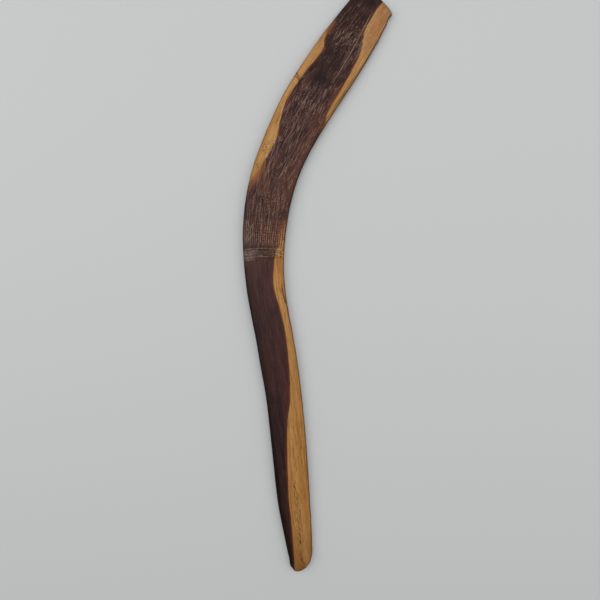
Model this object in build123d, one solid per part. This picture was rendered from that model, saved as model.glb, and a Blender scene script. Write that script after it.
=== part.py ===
from build123d import *
import math
import os

# A hunting boomerang carved from one naturally bent piece of desert hardwood.
# Frame: +Y runs towards the broad end, +X is the inner (concave) side of the bend,
# +Z is up, out of the convex face. The flat back lies on z = 0. The origin is the
# middle of the plan's bounding box, on the back. Units are millimetres.

# ---------------------------------------------------------------- driving sizes
T_TIP_NARROW = 8.8    # thickness at the narrow end
T_NARROW = 10.6       # thickness in the middle of the narrow arm
T_BEND = 12.0         # thickness at the bend
T_BROAD = 11.8        # thickness in the middle of the broad arm
T_TIP_BROAD = 9.0     # thickness at the broad end
EDGE_LEVEL = 0.38     # height of the widest line, as a share of the thickness
CROWN_SHARE = 0.34    # share of the rise above the widest line that is a full-width crown
ROUND_FACE = 6.5      # width of the rounding between the edge and the convex face
ROUND_BACK = 3.6      # width of the rounding between the edge and the back
BACK_DIP = 0.6        # how far the back bulges before it is planed flat
WALL_LEAN = 12.0      # degrees from upright, lean of the heartwood/sapwood limits
FACE_LEVEL = 9.0      # height at which those limits have the plan lines below

# ---------------------------------------------------------------- stations
# Cross-sections from past the narrow end to past the broad end. Each is given by
# the point where it meets the outer edge and the point where it meets the inner edge.
STATIONS = [
    ((-27.06, -345.17), (-5.04, -342.31)), ((-33.48, -317.82), (-5.94, -314.14)),
    ((-39.27, -290.29), (-6.91, -286.08)), ((-44.71, -262.45), (-8.51, -258.36)),
    ((-48.48, -234.17), (-10.17, -230.91)), ((-51.31, -206.31), (-11.97, -202.96)),
    ((-54.28, -178.75), (-14.14, -174.76)), ((-57.35, -151.13), (-16.79, -146.67)),
    ((-61.14, -124.54), (-20.08, -117.71)), ((-65.20, -102.30), (-23.05, -95.53)),
    ((-69.79, -75.01), (-27.56, -67.56)), ((-75.04, -47.87), (-32.74, -39.68)),
    ((-80.37, -19.16), (-36.87, -13.20)), ((-83.98, 10.42), (-38.69, 12.94)),
    ((-85.89, 40.26), (-37.85, 39.07)), ((-85.18, 70.46), (-34.91, 64.73)),
    ((-81.26, 100.60), (-30.11, 89.89)), ((-73.98, 130.66), (-23.12, 113.95)),
    ((-63.55, 159.51), (-13.38, 137.32)), ((-51.99, 186.81), (-0.86, 160.57)),
    ((-38.95, 213.60), (12.93, 182.92)), ((-23.90, 238.74), (27.53, 205.28)),
    ((-8.37, 262.24), (42.74, 228.59)), ((7.98, 285.34), (57.35, 252.16)),
    ((25.32, 307.11), (71.23, 276.88)), ((42.45, 328.76), (83.92, 302.62)),
    ((59.98, 350.81), (96.25, 327.95)),
]

# The two ends in plan. Each line starts and stops outside the blade.
BROAD_END = [
    (36.50, 328.00), (41.80, 333.20), (47.60, 335.60), (52.47, 334.42), (56.38, 332.12), (61.09, 329.13),
    (67.88, 324.18), (74.32, 319.01), (80.07, 313.72), (83.40, 310.04), (85.60, 306.30), (86.40, 302.00),
    (85.60, 296.50),
]
NARROW_END = [
    (-1.60, -308.50), (-4.20, -314.60), (-6.70, -320.40), (-8.94, -325.22), (-11.82, -329.01), (-15.73, -332.46),
    (-19.41, -334.53), (-22.60, -335.50), (-26.20, -335.40), (-30.20, -333.50), (-34.20, -330.00),
]
# Rounding of the ends: (height, how far the end line stands in at that height)
END_ROUND = [
    (-2.0, 3.0), (-0.5, 1.9), (0.8, 0.8), (2.0, 0.2), (3.4, 0.0), (4.8, 0.15), (6.2, 0.75),
    (7.4, 1.7), (8.4, 2.8), (9.2, 3.7), (10.2, 4.4), (12.5, 4.9), (15.0, 5.0),
]

# ---------------------------------------------------------------- wood limits
# where the dark heartwood meets each pale sapwood, on the face
LIMIT_OUTER_UPPER = [
    (17.28, 300.72), (16.13, 292.10), (12.85, 285.49), (10.38, 279.74), (7.85, 273.70), (7.39, 267.49),
    (5.66, 261.05), (2.33, 255.30), (-3.65, 248.11), (-10.15, 240.92), (-15.61, 233.68), (-19.87, 227.70),
    (-24.12, 221.83), (-28.38, 215.62), (-32.06, 209.19), (-36.77, 200.67), (-39.88, 190.67), (-42.18, 180.20),
    (-44.36, 169.62), (-46.89, 159.85), (-50.57, 152.38), (-54.37, 144.90), (-58.28, 137.88), (-61.15, 131.67),
    (-64.37, 124.77), (-68.51, 117.87), (-73.23, 112.70), (-77.48, 108.10), (-82.31, 100.62),
]
LIMIT_INNER_UPPER = [
    (78.23, 323.15), (73.97, 316.37), (68.91, 310.38), (63.39, 301.88), (59.02, 294.11), (54.77, 286.92),
    (52.12, 279.45), (50.97, 271.11), (49.02, 261.05), (45.91, 252.42), (41.89, 243.80), (37.29, 234.94),
    (31.77, 225.11), (26.25, 215.62), (21.30, 207.57), (16.13, 199.18), (11.76, 190.90), (8.77, 182.85),
    (6.93, 174.80), (5.78, 165.60),
]
LIMIT_INNER_LOWER = [
    (-30.90, 76.60), (-34.60, 67.40), (-38.35, 59.00), (-41.72, 51.75), (-43.67, 43.70), (-45.51, 36.45), (-47.58, 31.05),
    (-49.08, 23.86), (-50.00, 16.67), (-50.57, 8.62), (-50.69, 0.57), (-50.23, -5.75), (-49.08, -12.65),
    (-47.47, -19.55), (-45.40, -26.45), (-43.21, -33.64), (-41.26, -40.82), (-39.42, -48.01), (-37.92, -55.20),
    (-36.77, -62.39), (-35.85, -69.57), (-34.24, -83.95), (-32.86, -98.32), (-32.06, -112.70), (-31.60, -127.07),
    (-31.48, -138.57), (-32.75, -147.77), (-34.01, -158.12), (-34.70, -174.22), (-35.05, -189.17), (-34.82, -202.97),
    (-34.36, -217.92), (-34.01, -231.72), (-33.55, -246.67), (-32.29, -260.47), (-30.56, -275.42), (-29.18, -289.22),
    (-27.92, -304.17), (-27.11, -317.97), (-26.88, -329.47), (-27.00, -340.97),
]

# ---------------------------------------------------------------- helpers
def thickness(share):
    """Thickness at a share of the length: 0 at the narrow end, 1 at the broad end."""
    table = [(0.0, T_TIP_NARROW), (0.22, T_NARROW), (0.52, T_BEND), (0.78, T_BROAD), (1.0, T_TIP_BROAD)]
    for (a, ta), (b, tb) in zip(table, table[1:]):
        if share <= b:
            f = min(1.0, max(0.0, (share - a) / (b - a)))
            return ta + (tb - ta) * f * f * (3 - 2 * f)
    return T_TIP_BROAD


def quarter(x):
    """A quarter circle's rise: 0 at 0, 1 at 1 and beyond."""
    x = min(1.0, max(0.0, x))
    return math.sqrt(1 - (1 - x) ** 2)


def section(outer, inner, t):
    """Ring of points of one cross-section: over the face, then back under the flat side."""
    half = math.hypot(inner[0] - outer[0], inner[1] - outer[1]) / 2
    z_e = EDGE_LEVEL * t
    over = [0.0, 0.35, 1.4, 3.2, 6.0, 6.0 + 0.45 * (half - 6.0), half]
    under = [0.0, 0.25, 0.95, 2.1, 4.2, 4.2 + 0.45 * (half - 4.2), half]

    def z_face(d):
        u = 1 - d / half
        rise = (1 - CROWN_SHARE) * quarter(d / ROUND_FACE) + CROWN_SHARE * (1 - u * u)
        return z_e + (t - z_e) * rise

    def z_back(d):
        u = 1 - d / half
        return z_e * (1 - quarter(d / ROUND_BACK)) - BACK_DIP * (1 - u * u) * quarter(d / ROUND_BACK)

    def place(d, z):
        f = d / (2 * half)
        return Vector(outer[0] + (inner[0] - outer[0]) * f, outer[1] + (inner[1] - outer[1]) * f, z)

    face = [place(d, z_face(d)) for d in over]
    face += [place(2 * half - d, z_face(d)) for d in reversed(over[:-1])]
    back = [place(2 * half - d, z_back(d)) for d in under[1:]]
    back += [place(d, z_back(d)) for d in reversed(under[1:-1])]
    return face + back


def ring_parameters(ring):
    """Spline parameters of a closed ring of points, by the root of the chord length."""
    run = [0.0]
    for a, b in zip(ring, ring[1:] + ring[:1]):
        run.append(run[-1] + math.sqrt((b - a).length))
    return [r / run[-1] for r in run]


def inset(points, amount):
    """An open plan line moved towards the blade, which lies on its right-hand side."""
    out = []
    for i, (x, y) in enumerate(points):
        xa, ya = points[max(i - 1, 0)]
        xb, yb = points[min(i + 1, len(points) - 1)]
        n = math.hypot(xb - xa, yb - ya)
        out.append((x + (yb - ya) / n * amount, y - (xb - xa) / n * amount))
    return out


# ---------------------------------------------------------------- blade
count = len(STATIONS)
rings = [section(o, i, thickness(k / (count - 1))) for k, (o, i) in enumerate(STATIONS)]
shares = ring_parameters(rings[count // 2])
body = Solid.make_loft(
    [Wire([Edge.make_spline(ring, periodic=True, parameters=shares)]) for ring in rings]
)

# Both ends are shaped by one rounded outline, which runs clear of the long edges.
levels = []
for z, amount in END_ROUND:
    broad = [Vector(x, y, z) for x, y in inset(BROAD_END, amount)]
    narrow = [Vector(x, y, z) for x, y in inset(NARROW_END, amount)]
    levels.append(Wire([
        Edge.make_spline(broad),
        Edge.make_line(broad[-1], narrow[0]),
        Edge.make_spline(narrow),
        Edge.make_line(narrow[-1], Vector(-120, -60, z)),
        Edge.make_line(Vector(-120, -60, z), Vector(-110, 190, z)),
        Edge.make_line(Vector(-110, 190, z), broad[0]),
    ]))
ends = Solid.make_loft(levels)
above_back = Pos(0, 0, 10) * Box(400, 900, 20)
blade = (body & ends) & above_back

# ---------------------------------------------------------------- wood zones
def beyond(limit, far, side):
    """Everything beyond a heartwood/sapwood limit, closed off by the far points.

    The limit holds at FACE_LEVEL. Below it the wall leans towards the sapwood, which
    lies on the right-hand side of the limit's travel for side 1, and on the left for -1.
    """
    lean = math.tan(math.radians(WALL_LEAN)) * side
    wires = []
    for z in (-4.0, 18.0):
        points = [Vector(x, y, z) for x, y in inset(limit, (FACE_LEVEL - z) * lean)]
        corners = [points[-1]] + [Vector(x, y, z) for x, y in far] + [points[0]]
        edges = [Edge.make_line(p, q) for p, q in zip(corners, corners[1:])]
        wires.append(Wire([Edge.make_spline(points)] + edges))
    return Solid.make_loft(wires, ruled=True)


outer_upper = beyond(LIMIT_OUTER_UPPER, [(-125, 110), (-60, 310)], 1)
inner_upper = beyond(LIMIT_INNER_UPPER, [(30, 140), (120, 290), (110, 330)], -1)
inner_lower = beyond(LIMIT_INNER_LOWER, [(20, -345), (20, 70)], -1)

nodes = {
    "heartwood_blade": blade - outer_upper - inner_upper - inner_lower,
    "sapwood_outer_upper": blade & outer_upper,
    "sapwood_inner_upper": blade & inner_upper,
    "sapwood_inner_lower": blade & inner_lower,
}

# ---------------------------------------------------------------- output
os.makedirs("parts", exist_ok=True)
for name, shape in nodes.items():
    solids = shape.solids()
    print(name, len(solids), "solid,", round(sum(s.volume for s in solids)), "mm3")
    export_step(solids[0] if len(solids) == 1 else Compound(children=solids), "parts/" + name + ".step")
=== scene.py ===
import bpy
import math
import numpy as np
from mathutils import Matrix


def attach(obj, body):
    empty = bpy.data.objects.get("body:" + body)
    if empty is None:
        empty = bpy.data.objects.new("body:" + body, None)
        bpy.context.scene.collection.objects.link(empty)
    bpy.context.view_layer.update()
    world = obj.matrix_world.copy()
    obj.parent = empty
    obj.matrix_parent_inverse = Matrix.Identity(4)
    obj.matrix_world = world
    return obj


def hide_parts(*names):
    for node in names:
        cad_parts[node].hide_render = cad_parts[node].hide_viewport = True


# A one-piece hardwood boomerang. The blade's surface is one function over a grid of
# rows (along the blade) and columns (across it). The columns follow the limits
# between heartwood and sapwood, so the four wood zones share their seams exactly.
# Everything is worked out in millimetres and scaled to metres when a mesh is made.

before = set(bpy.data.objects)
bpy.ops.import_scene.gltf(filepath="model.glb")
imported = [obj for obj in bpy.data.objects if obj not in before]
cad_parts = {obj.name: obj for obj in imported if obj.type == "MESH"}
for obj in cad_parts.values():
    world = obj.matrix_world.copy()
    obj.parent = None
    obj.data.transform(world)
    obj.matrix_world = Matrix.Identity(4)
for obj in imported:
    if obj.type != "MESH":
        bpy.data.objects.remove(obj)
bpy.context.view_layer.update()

# ------------------------------------------------------------------ shape data
STATIONS = np.array([
    ((-27.06, -345.17), (-5.04, -342.31)), ((-33.48, -317.82), (-5.94, -314.14)),
    ((-39.27, -290.29), (-6.91, -286.08)), ((-44.71, -262.45), (-8.51, -258.36)),
    ((-48.48, -234.17), (-10.17, -230.91)), ((-51.31, -206.31), (-11.97, -202.96)),
    ((-54.28, -178.75), (-14.14, -174.76)), ((-57.35, -151.13), (-16.79, -146.67)),
    ((-61.14, -124.54), (-20.08, -117.71)), ((-65.20, -102.30), (-23.05, -95.53)),
    ((-69.79, -75.01), (-27.56, -67.56)), ((-75.04, -47.87), (-32.74, -39.68)),
    ((-80.37, -19.16), (-36.87, -13.20)), ((-83.98, 10.42), (-38.69, 12.94)),
    ((-85.89, 40.26), (-37.85, 39.07)), ((-85.18, 70.46), (-34.91, 64.73)),
    ((-81.26, 100.60), (-30.11, 89.89)), ((-73.98, 130.66), (-23.12, 113.95)),
    ((-63.55, 159.51), (-13.38, 137.32)), ((-51.99, 186.81), (-0.86, 160.57)),
    ((-38.95, 213.60), (12.93, 182.92)), ((-23.90, 238.74), (27.53, 205.28)),
    ((-8.37, 262.24), (42.74, 228.59)), ((7.98, 285.34), (57.35, 252.16)),
    ((25.32, 307.11), (71.23, 276.88)), ((42.45, 328.76), (83.92, 302.62)),
    ((59.98, 350.81), (96.25, 327.95)),
])
# ends in plan, clockwise, between the long edges
BROAD_END = [
    (39.93, 325.56), (43.84, 330.51), (45.91, 333.15), (47.52, 335.00), (49.59, 335.68), (52.47, 334.42),
    (56.38, 332.12), (61.09, 329.13), (67.88, 324.18), (74.32, 319.01), (80.07, 313.72), (83.40, 310.04),
    (85.13, 307.51), (85.93, 305.67), (85.47, 304.06), (84.32, 301.99),
]
NARROW_END = [
    (-6.41, -314.52), (-7.22, -320.62), (-8.94, -325.22), (-11.82, -329.01), (-15.73, -332.46), (-19.41, -334.53),
    (-22.51, -335.46), (-24.93, -335.63), (-26.88, -334.99), (-28.38, -332.92), (-29.53, -330.17),
]
LIMIT_OUTER_UPPER = [
    (17.28, 300.72), (16.13, 292.10), (12.85, 285.49), (10.38, 279.74), (7.85, 273.70), (7.39, 267.49),
    (5.66, 261.05), (2.33, 255.30), (-3.65, 248.11), (-10.15, 240.92), (-15.61, 233.68), (-19.87, 227.70),
    (-24.12, 221.83), (-28.38, 215.62), (-32.06, 209.19), (-36.77, 200.67), (-39.88, 190.67), (-42.18, 180.20),
    (-44.36, 169.62), (-46.89, 159.85), (-50.57, 152.38), (-54.37, 144.90), (-58.28, 137.88), (-61.15, 131.67),
    (-64.37, 124.77), (-68.51, 117.87), (-73.23, 112.70), (-77.48, 108.10), (-82.31, 100.62),
]
LIMIT_INNER_UPPER = [
    (78.23, 323.15), (73.97, 316.37), (68.91, 310.38), (63.39, 301.88), (59.02, 294.11), (54.77, 286.92),
    (52.12, 279.45), (50.97, 271.11), (49.02, 261.05), (45.91, 252.42), (41.89, 243.80), (37.29, 234.94),
    (31.77, 225.11), (26.25, 215.62), (21.30, 207.57), (16.13, 199.18), (11.76, 190.90), (8.77, 182.85),
    (6.93, 174.80), (5.78, 165.60),
]
LIMIT_INNER_LOWER = [
    (-30.90, 76.60), (-34.60, 67.40), (-38.35, 59.00), (-41.72, 51.75), (-43.67, 43.70), (-45.51, 36.45), (-47.58, 31.05),
    (-49.08, 23.86), (-50.00, 16.67), (-50.57, 8.62), (-50.69, 0.57), (-50.23, -5.75), (-49.08, -12.65),
    (-47.47, -19.55), (-45.40, -26.45), (-43.21, -33.64), (-41.26, -40.82), (-39.42, -48.01), (-37.92, -55.20),
    (-36.77, -62.39), (-35.85, -69.57), (-34.24, -83.95), (-32.86, -98.32), (-32.06, -112.70), (-31.60, -127.07),
    (-31.48, -138.57), (-32.75, -147.77), (-34.01, -158.12), (-34.70, -174.22), (-35.05, -189.17), (-34.82, -202.97),
    (-34.36, -217.92), (-34.01, -231.72), (-33.55, -246.67), (-32.29, -260.47), (-30.56, -275.42), (-29.18, -289.22),
    (-27.92, -304.17), (-27.11, -317.97), (-26.88, -329.47), (-27.00, -340.97),
]
THICKNESS = [(0.0, 8.8), (0.22, 10.6), (0.52, 12.0), (0.78, 11.8), (1.0, 9.0)]


# ------------------------------------------------------------------ small tools
def spline(t, p, q):
    """Natural cubic spline through p at t, read at q."""
    t, p, q = np.asarray(t, float), np.asarray(p, float), np.asarray(q, float)
    n = len(t)
    h = np.diff(t)
    a = np.zeros((n, n))
    r = np.zeros(p.shape)
    a[0, 0] = a[-1, -1] = 1
    for i in range(1, n - 1):
        a[i, i - 1], a[i, i], a[i, i + 1] = h[i - 1], 2 * (h[i - 1] + h[i]), h[i]
        r[i] = 6 * ((p[i + 1] - p[i]) / h[i] - (p[i] - p[i - 1]) / h[i - 1])
    m = np.linalg.solve(a, r)
    k = np.clip(np.searchsorted(t, q, side="right") - 1, 0, n - 2)
    col = (slice(None),) + (None,) * (p.ndim - 1)
    u, v, w = (t[k + 1] - q)[col], (q - t[k])[col], h[k][col]
    return (m[k] * u ** 3 + m[k + 1] * v ** 3) / (6 * w) + (p[k] / w - m[k] * w / 6) * u + (p[k + 1] / w - m[k + 1] * w / 6) * v


def runs(p):
    """Length along a line of points."""
    return np.concatenate([[0], np.cumsum(np.hypot(*np.diff(np.asarray(p, float), axis=0).T))])


def smoothstep(a, b, x):
    x = np.clip((np.asarray(x, float) - a) / (b - a), 0, 1)
    return x * x * (3 - 2 * x)


def quarter(x):
    x = np.clip(x, 0, 1)
    return np.sqrt(1 - (1 - x) ** 2)


def near_line(px, py, line, chunk=20000):
    """Distance from each point to a polyline, and the length along it of the nearest place."""
    a, b = line[:-1], line[1:]
    d = b - a
    dd = np.maximum((d ** 2).sum(1), 1e-12)
    start = runs(line)[:-1]
    seg = np.sqrt(dd)
    dist, along = np.empty(px.size), np.empty(px.size)
    for i in range(0, px.size, chunk):
        x, y = px[i:i + chunk, None], py[i:i + chunk, None]
        t = np.clip(((x - a[:, 0]) * d[:, 0] + (y - a[:, 1]) * d[:, 1]) / dd, 0, 1)
        e = np.hypot(x - a[:, 0] - t * d[:, 0], y - a[:, 1] - t * d[:, 1])
        k = e.argmin(1)
        r = np.arange(len(k))
        dist[i:i + chunk] = e[r, k]
        along[i:i + chunk] = start[k] + t[r, k] * seg[k]
    return dist, along


_rng = np.random.RandomState(4711)
_perm = _rng.permutation(4096)
_grad = _rng.rand(4096) * 2 * math.pi


def wave(x, y, seed=0):
    """Smooth noise in the plane, about -1 to 1, one bump per unit."""
    x, y = np.asarray(x, float) + 71.3 * seed, np.asarray(y, float) - 39.7 * seed
    xi, yi = np.floor(x).astype(int), np.floor(y).astype(int)
    xf, yf = x - xi, y - yi
    out = 0
    fx, fy = xf ** 3 * (xf * (xf * 6 - 15) + 10), yf ** 3 * (yf * (yf * 6 - 15) + 10)
    for i in (0, 1):
        for j in (0, 1):
            g = _grad[_perm[(_perm[(xi + i) % 4096] + yi + j) % 4096]]
            dot = np.cos(g) * (xf - i) + np.sin(g) * (yf - j)
            out = out + dot * (fx if i else 1 - fx) * (fy if j else 1 - fy)
    return out * 1.5


# ------------------------------------------------------------------ outline
mid = STATIONS.mean(1)
S_ST = runs(mid)
S_ALL = S_ST[-1]


def edge(side, s):
    return spline(S_ST, STATIONS[:, side], s)


def nearest_s(side, p):
    s = np.linspace(0, S_ALL, 4001)
    q = edge(side, s)
    return s[np.hypot(q[:, 0] - p[0], q[:, 1] - p[1]).argmin()]


s_ol, s_oh = nearest_s(0, NARROW_END[-1]), nearest_s(0, BROAD_END[0])
s_il, s_ih = nearest_s(1, NARROW_END[0]), nearest_s(1, BROAD_END[-1])
loop = np.vstack([
    edge(0, np.linspace(s_ol, s_oh, 90)), BROAD_END[1:-1],
    edge(1, np.linspace(s_ih, s_il, 84)), NARROW_END[1:-1],
])
wrap = 12
long_loop = np.vstack([loop[-wrap:], loop, loop[:wrap + 1]])
run = runs(long_loop)
first, last = run[wrap], run[wrap + len(loop)]
q = np.linspace(first, last, 9001)
rim = spline(run, long_loop, q)
tangent = np.gradient(rim, axis=0)
tangent /= np.hypot(tangent[:, 0], tangent[:, 1])[:, None]
normal = np.stack([-tangent[:, 1], tangent[:, 0]], 1)      # outwards, for a clockwise loop
rim_run = runs(rim)
whittle = 0.13 * wave(rim_run / 17.0, 0 * rim_run, 3) + 0.06 * wave(rim_run / 5.0, 0 * rim_run, 5)
whittle *= smoothstep(0, 30, rim_run) * smoothstep(0, 30, rim_run[-1] - rim_run)
rim = rim + normal * whittle[:, None]
rim_run = runs(rim)


def rim_at(l):
    l = np.mod(l, rim_run[-1])
    return np.stack([np.interp(l, rim_run, rim[:, 0]), np.interp(l, rim_run, rim[:, 1])], -1)


def rim_run_of(p):
    return rim_run[np.hypot(rim[:, 0] - p[0], rim[:, 1] - p[1]).argmin()]


c_tip = rim_run_of(NARROW_END[8])        # outer corner of the narrow end
c_out = rim_run_of(BROAD_END[3])         # outer corner of the broad end
c_in = rim_run_of(BROAD_END[13])         # inner corner of the broad end
c_heel = rim_run_of(NARROW_END[1])       # inner corner of the narrow end
L_ALL = rim_run[-1]
if c_tip > c_out:
    c_tip -= L_ALL                       # the outer edge then runs from c_tip up to c_out

# ------------------------------------------------------------------ rows
FINE, PLAIN = 0.53, 1.6                  # row spacing on the incised arm and on the smooth arm
S_BAND = nearest_s(0, (-84.6, 19.0))     # the incised arm starts just below the band
S_LO, S_HI = 62.0, S_ALL - 62.0          # straight rows lie between these


def cos_steps(reach, spacing, first_gap=0.035):
    """Distances from an edge, fine at the edge and growing to the given spacing."""
    out, gap = [0.0], first_gap
    while out[-1] < reach:
        out.append(out[-1] + gap)
        gap = min(spacing, gap * 1.62 + 0.02)
    return np.array(out)


s_mid = np.concatenate([
    np.arange(S_LO, S_BAND, PLAIN),
    np.arange(S_BAND, S_HI, FINE),
])
rows = []                                # (outer run, inner run, bulge weight, end index, s)
lo_out, lo_in = rim_run_of(edge(0, np.array([S_LO]))[0]), rim_run_of(edge(1, np.array([S_LO]))[0])
if lo_out > c_out:
    lo_out -= L_ALL
span_lo = (lo_out - c_tip + c_heel - lo_in) / 2
d = cos_steps(span_lo, PLAIN)
d = d * span_lo / d[-1]
for k in range(len(d) - 1):
    f = 1 - d[k] / span_lo               # 1 on the end line, 0 on the first straight row
    rows.append((c_tip + (lo_out - c_tip) * (1 - f), c_heel - (c_heel - lo_in) * (1 - f), f * f, 0, S_LO - span_lo * f))
for s in s_mid:
    a, b = rim_run_of(edge(0, np.array([s]))[0]), rim_run_of(edge(1, np.array([s]))[0])
    rows.append((a, b, 0.0, -1, s))
hi_s = s_mid[-1] + FINE
hi_out, hi_in = rim_run_of(edge(0, np.array([hi_s]))[0]), rim_run_of(edge(1, np.array([hi_s]))[0])
span_hi = (c_out - hi_out + hi_in - c_in) / 2
d = cos_steps(span_hi, FINE)[::-1]
d = d * span_hi / d[0]
for k in range(len(d)):
    f = 1 - d[k] / span_hi
    rows.append((hi_out + (c_out - hi_out) * f, hi_in - (hi_in - c_in) * f, f * f, 1, hi_s + span_hi * f))
rows = np.array(rows)
# the straight rows' runs come from the nearest rim sample, so they are smoothed
for col in (0, 1):
    v = rows[:, col].copy()
    if col == 0:
        v[v > c_out + 50] -= L_ALL
    rows[:, col] = v
    core = rows[:, 3] == -1
    knots = np.append(np.arange(0, core.sum() - 6, 12), core.sum() - 1)
    rows[core, col] = np.interp(rows[core, 4], rows[core, 4][knots], v[core][knots])
N = len(rows)
row_s = rows[:, 4]
A, B = rim_at(rows[:, 0]), rim_at(rows[:, 1])
chord = B - A
width = np.hypot(chord[:, 0], chord[:, 1])


def end_bulge(which, u):
    """How far an end line stands off its chord, at each share u from outer to inner."""
    l = (c_out + (c_in - c_out) * u) if which == 1 else (c_tip + L_ALL + (c_heel - c_tip - L_ALL) * u)
    e = rim_at(l)
    p, q2 = (rim_at(np.array([c_out]))[0], rim_at(np.array([c_in]))[0]) if which == 1 else (rim_at(np.array([c_tip]))[0], rim_at(np.array([c_heel]))[0])
    return e - (p + (q2 - p) * u[..., None])


def place(u):
    """Plan position of share u (rows x columns) across every row."""
    out = A[:, None, :] + chord[:, None, :] * u[..., None]
    for which in (0, 1):
        k = rows[:, 3] == which
        out[k] += rows[k, 2][:, None, None] * end_bulge(which, u[k])
    return out


# ------------------------------------------------------------------ zone limits
def dense(points, step=1.2):
    p = np.asarray(points, float)
    r = runs(p)
    return spline(r, p, np.linspace(0, r[-1], int(r[-1] / step) + 2))


LIMITS = [dense(LIMIT_OUTER_UPPER), dense(LIMIT_INNER_UPPER), dense(LIMIT_INNER_LOWER)]


def side_of(px, py, line):
    """Signed distance to a line drawn from the broad end down: positive on its left (inner) side."""
    a, b = line[:-1], line[1:]
    d = b - a
    dd = (d ** 2).sum(1)
    t = ((px[:, None] - a[:, 0]) * d[:, 0] + (py[:, None] - a[:, 1]) * d[:, 1]) / dd
    t[:, 1:-1] = np.clip(t[:, 1:-1], 0, 1)
    t[:, 0] = np.minimum(t[:, 0], 1)
    t[:, -1] = np.maximum(t[:, -1], 0)
    ex, ey = px[:, None] - a[:, 0] - t * d[:, 0], py[:, None] - a[:, 1] - t * d[:, 1]
    e = np.hypot(ex, ey)
    k = e.argmin(1)
    r = np.arange(len(k))
    cross = d[k, 0] * (py - a[k, 1]) - d[k, 1] * (px - a[k, 0])
    return np.sign(cross) * e[r, k]


def crossing(line, low_y, high_y, default):
    """Share u where each row meets a limit, or the default where it doesn't."""
    u = np.linspace(0, 1, 81)
    grid = place(np.tile(u, (N, 1)))
    out = np.full(N, float(default))
    use = (grid[:, 40, 1] > low_y) & (grid[:, 40, 1] < high_y)
    for i in np.nonzero(use)[0]:
        v = side_of(grid[i, :, 0], grid[i, :, 1], line)
        k = np.nonzero((v[:-1] < 0) & (v[1:] >= 0))[0]
        if len(k):
            k = k[0]
            out[i] = u[k] + (u[k + 1] - u[k]) * (-v[k]) / (v[k + 1] - v[k])
        else:
            out[i] = 1.0 if (v < 0).all() else 0.0
    return out


cut_a = crossing(LIMITS[0], 60, 345, 0.0)
cut_a = np.where(cut_a >= 1, 0, cut_a)
up = crossing(LIMITS[1], 118, 345, 1.0)
low = crossing(LIMITS[2], -350, 118, 1.0)
cut_b = np.minimum(up, low)
print("rows", N, "outer zone rows", int((cut_a > 0).sum()), "inner zone rows", int((cut_b < 1).sum()))

# ------------------------------------------------------------------ columns
M1, M2, M3 = 16, 96, 28                  # columns in the outer, middle and inner bands
EDGE_COLS, EDGE_REACH = 12, 6.5          # columns given to a rounded edge, and its width


def edge_fill(count, w, at_start, at_end):
    """Distances across a band of width w, with extra columns at its rounded edges."""
    w = np.asarray(w, float)[:, None]
    j = np.arange(count + 1)[None, :]
    even = w * j / count
    n = min(EDGE_COLS, count // 2)
    reach = np.minimum(EDGE_REACH, 0.4 * w)
    arc = 1 - np.cos(np.pi / 2 * np.arange(n + 1) / n)[None, :]

    def one_end():
        tail = reach + (w - reach) * (j[:, n:] - n) / (count - n)
        return np.concatenate([reach * arc[:, :n], tail], 1)

    first = one_end()
    last = w - first[:, ::-1]
    head = reach * arc
    body = reach + (w - 2 * reach) * (j[:, n:count - n + 1] - n) / max(count - 2 * n, 1)
    both = np.concatenate([head[:, :n], body, (w - head[:, ::-1])[:, 1:]], 1) if count > 2 * n else 0.5 * (first + last)
    p, q2 = np.asarray(at_start, float)[:, None], np.asarray(at_end, float)[:, None]
    return (1 - p) * (1 - q2) * even + p * (1 - q2) * first + (1 - p) * q2 * last + p * q2 * both


def shares(a, b):
    """Share u of every column in every row, for zone limits a and b."""
    w1, w2, w3 = a * width, (b - a) * width, (1 - b) * width
    ones, zeros = np.ones(N), np.zeros(N)
    outer = edge_fill(M1, w1, ones, zeros)
    middle = edge_fill(M2, w2, 1 - smoothstep(0, EDGE_REACH, w1), 1 - smoothstep(0, EDGE_REACH, w3))
    inner = edge_fill(M3, w3, zeros, ones)
    x = np.concatenate([outer[:, :-1], w1[:, None] + middle[:, :-1], w1[:, None] + w2[:, None] + inner], 1)
    return x / width[:, None]


COLS = M1 + M2 + M3 + 1
U = shares(cut_a, cut_b)
P = place(U)
X, Y = P[..., 0], P[..., 1]

# ------------------------------------------------------------------ fields on the grid
def rim_distance(x, y):
    """Distance to the outline, and the run along it."""
    from mathutils import kdtree
    tree = kdtree.KDTree(len(rim))
    for k, p in enumerate(rim):
        tree.insert((p[0], p[1], 0), k)
    tree.balance()
    fx, fy = x.ravel(), y.ravel()
    near = np.fromiter((tree.find((p, q2, 0))[1] for p, q2 in zip(fx.tolist(), fy.tolist())), int, fx.size)
    best = np.full(fx.size, 1e9)
    for step in (-1, 0):
        i = (near + step) % (len(rim) - 1)
        a, b = rim[i], rim[i + 1]
        dv = b - a
        t = np.clip(((fx - a[:, 0]) * dv[:, 0] + (fy - a[:, 1]) * dv[:, 1]) / np.maximum((dv ** 2).sum(1), 1e-12), 0, 1)
        best = np.minimum(best, np.hypot(fx - a[:, 0] - t * dv[:, 0], fy - a[:, 1] - t * dv[:, 1]))
    return best.reshape(x.shape), rim_run[near].reshape(x.shape)


def thickness_at(s):
    f = (s - S_ST[0]) / S_ALL
    out = np.full(f.shape, THICKNESS[-1][1])
    for (a, ta), (b, tb) in reversed(list(zip(THICKNESS, THICKNESS[1:]))):
        out = np.where(f <= b, ta + (tb - ta) * smoothstep(a, b, f), out)
    return out


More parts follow.
